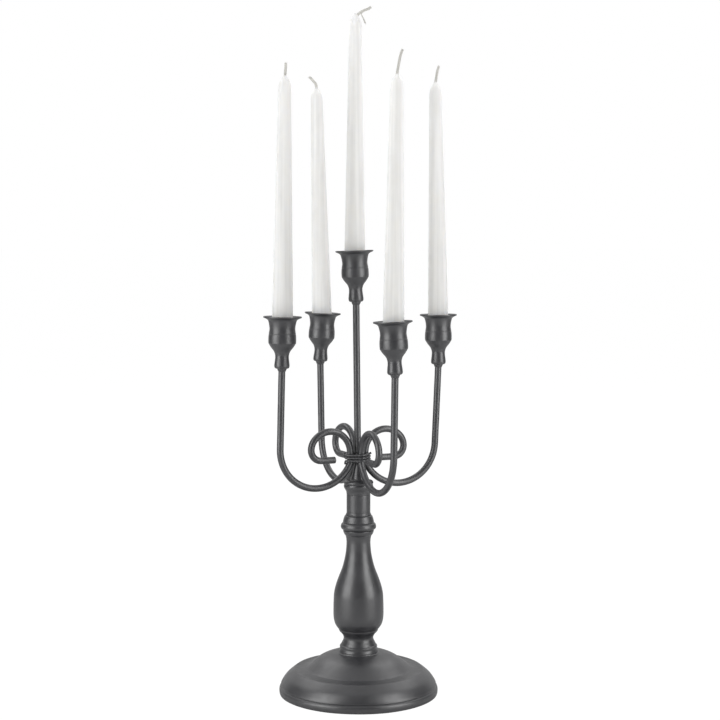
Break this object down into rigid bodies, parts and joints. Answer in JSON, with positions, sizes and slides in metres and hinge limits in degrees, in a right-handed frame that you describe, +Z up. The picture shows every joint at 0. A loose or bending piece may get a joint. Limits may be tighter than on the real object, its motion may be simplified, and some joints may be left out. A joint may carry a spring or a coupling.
{
  "type": "candelabrum",
  "caption": "Table candelabrum with a turned column on a dome foot, bent-rod arms with scrolls round a centre stem, and cups that hold taper candles.",
  "frame": {"origin": "centre of the felt underside of the foot", "axes": "+Z up along the column; the arms point along +X, +Y, -X and -Y, within a few degrees"},
  "size_m": [0.2178, 0.2204, 0.7182],
  "materials": {
    "coated_metal": "satin charcoal powder coat with a fine texture",
    "bare_steel": "zinc-plated, hidden inside the foot and column",
    "felt": "black pressed wool felt",
    "wax": "dipped white candle wax, soft sheen",
    "wick": "braided cotton, waxed"
  },
  "bodies": {
    "stand": {"base_shell": "coated_metal", "column_foot": "coated_metal", "column_vase": "coated_metal", "column_collar": "coated_metal", "column_neck": "coated_metal", "column_cap": "coated_metal", "centre_stem": "coated_metal", "arm_right": "coated_metal", "arm_back": "coated_metal", "arm_left": "coated_metal", "arm_front": "coated_metal", "binding_wire": "coated_metal", "arm_welds": "coated_metal", "cup_welds": "coated_metal", "cup_centre": "coated_metal", "cup_right": "coated_metal", "cup_back": "coated_metal", "cup_left": "coated_metal", "cup_front": "coated_metal", "base_plate": "bare_steel", "felt_disc": "felt", "tie_rod": "bare_steel", "tie_washer": "bare_steel", "tie_nut": "bare_steel"},
    "taper_centre": {"candle_centre": "wax", "wick_centre": "wick"},
    "taper_right": {"candle_right": "wax", "wick_right": "wick"},
    "taper_back": {"candle_back": "wax", "wick_back": "wick"},
    "taper_left": {"candle_left": "wax", "wick_left": "wick"},
    "taper_front": {"candle_front": "wax", "wick_front": "wick"}
  },
  "joints": [
    {"name": "lift_centre", "type": "slide", "parent": "stand", "child": "taper_centre", "axis": [0.0024, -0.0011, 1], "range_m": [0, 0.05]},
    {"name": "lift_right", "type": "slide", "parent": "stand", "child": "taper_right", "axis": [-0.0142, 0.0066, 0.9999], "range_m": [0, 0.05]},
    {"name": "lift_back", "type": "slide", "parent": "stand", "child": "taper_back", "axis": [-0.0206, 0.0096, 0.9997], "range_m": [0, 0.05]},
    {"name": "lift_left", "type": "slide", "parent": "stand", "child": "taper_left", "axis": [0.0119, -0.0055, 0.9999], "range_m": [0, 0.05]},
    {"name": "lift_front", "type": "slide", "parent": "stand", "child": "taper_front", "axis": [0.0119, -0.0055, 0.9999], "range_m": [0, 0.05]}
  ]
}
